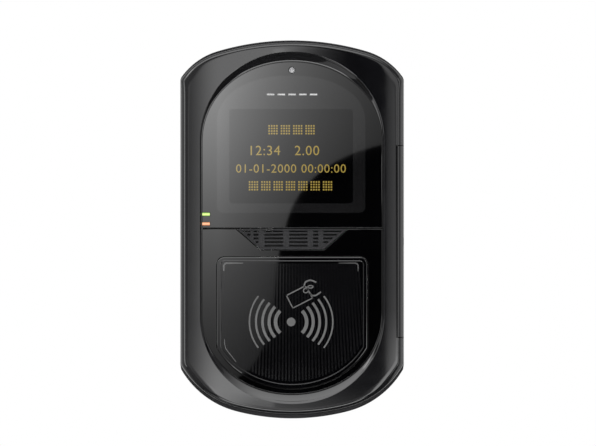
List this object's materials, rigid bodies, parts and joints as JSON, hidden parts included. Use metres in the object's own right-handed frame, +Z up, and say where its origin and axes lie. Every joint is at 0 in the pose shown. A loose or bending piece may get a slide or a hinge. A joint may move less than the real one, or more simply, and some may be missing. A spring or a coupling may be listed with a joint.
{
  "type": "bus card validator",
  "caption": "On-bus contactless fare card validator: flat housing with display window, speaker grille, card pad, side service door and a key lock on its wall bracket.",
  "frame": {"origin": "centre of the wall bracket's flat rear face, level with the middle of the housing's height", "axes": "+Z up, +Y out of the rear face towards the wall, so the face with the display looks along -Y, +X to the right as the user sees it"},
  "size_m": [0.14, 0.068, 0.2368],
  "materials": {
    "housing": "fine satin moulding, charcoal black",
    "rear_housing": "fine texture, dark grey",
    "gasket": "matt",
    "window": "polished black",
    "pad_film": "satin, finely ribbed",
    "grille": "satin",
    "green_lens": "clear, lit",
    "orange_lens": "clear, lit",
    "sensor_lens": "polished dome",
    "display_pane": "dark pane with amber dots",
    "steel_sheet": "rolled",
    "ribbon": "polyimide film",
    "laminate": "green solder mask",
    "ferrite": "sintered, dark grey",
    "speaker_cone": "pressed, black",
    "module": "moulded black",
    "tin": "tin plated",
    "capacitor": "sleeved can",
    "black_aluminium": "black anodised",
    "steel": "zinc plated",
    "button": "red",
    "bracket": "grey powder coat",
    "chrome": "polished",
    "foil": "blank brushed foil"
  },
  "bodies": {
    "housing": {"front_shell": "housing", "rear_shell": "rear_housing", "housing_gasket": "gasket", "panel_gasket": "gasket", "door_seal": "gasket", "display_window": "window", "card_panel": "window", "card_pad": "pad_film", "speaker_grille": "grille", "led_lens_green": "green_lens", "led_lens_orange": "orange_lens", "light_sensor_lens": "sensor_lens", "display_glass": "display_pane", "display_frame": "steel_sheet", "display_ribbon": "ribbon", "display_board": "laminate", "led_board": "laminate", "light_sensor_board": "laminate", "antenna_board": "laminate", "main_board": "laminate", "power_board": "laminate", "ferrite_sheet": "ferrite", "speaker_magnet": "ferrite", "power_inductor": "ferrite", "speaker_basket": "steel_sheet", "processor_module": "module", "cell_holder": "module", "rf_shield_can": "tin", "cellular_module": "tin", "backup_cell": "tin", "network_socket": "tin", "usb_socket": "tin", "memory_card_slot": "tin", "sam_socket_1": "tin", "sam_socket_2": "tin", "cellular_antenna": "ribbon", "bulk_capacitor_1": "capacitor", "bulk_capacitor_2": "capacitor", "heat_sink": "black_aluminium", "main_connector": "module", "door_hinge_pin": "steel", "service_bay": "rear_housing", "reset_switch": "module", "power_switch_body": "module", "mounting_bracket": "bracket", "lock_barrel": "chrome", "lock_nut": "steel", "rating_plate": "foil", "case_screw_1": "steel", "case_screw_2": "steel", "case_screw_3": "steel", "case_screw_4": "steel"},
    "door": {"service_door": "housing", "door_screw": "steel"},
    "button": {"reset_button": "button"},
    "rocker": {"power_switch_rocker": "module"},
    "key_plug": {"lock_plug": "chrome", "lock_cam": "steel"},
    "speaker_diaphragm": {"speaker_cone": "speaker_cone"}
  },
  "joints": [
    {"name": "service_door_hinge", "type": "hinge", "parent": "housing", "child": "door", "pos_m": [0.0676, -0.022, -0.00755], "axis": [0, 0, 1], "range_deg": [0, 105]},
    {"name": "reset_button_press", "type": "slide", "parent": "housing", "child": "button", "axis": [-1, 0, 0], "range_m": [0, 0.001], "stiffness_N_per_m": 800, "springref_m": -0.0005},
    {"name": "power_rocker_tilt", "type": "hinge", "parent": "housing", "child": "rocker", "pos_m": [0.0545, -0.04, -0.0525], "axis": [0, -1, 0], "range_deg": [-16, 0]},
    {"name": "lock_turn", "type": "hinge", "parent": "housing", "child": "key_plug", "pos_m": [0, -0.026, -0.1078], "axis": [0, 0, -1], "range_deg": [0, 90]},
    {"name": "speaker_travel", "type": "slide", "parent": "housing", "child": "speaker_diaphragm", "axis": [0, -1, 0], "range_m": [-0.0005, 0.0005], "stiffness_N_per_m": 900}
  ]
}
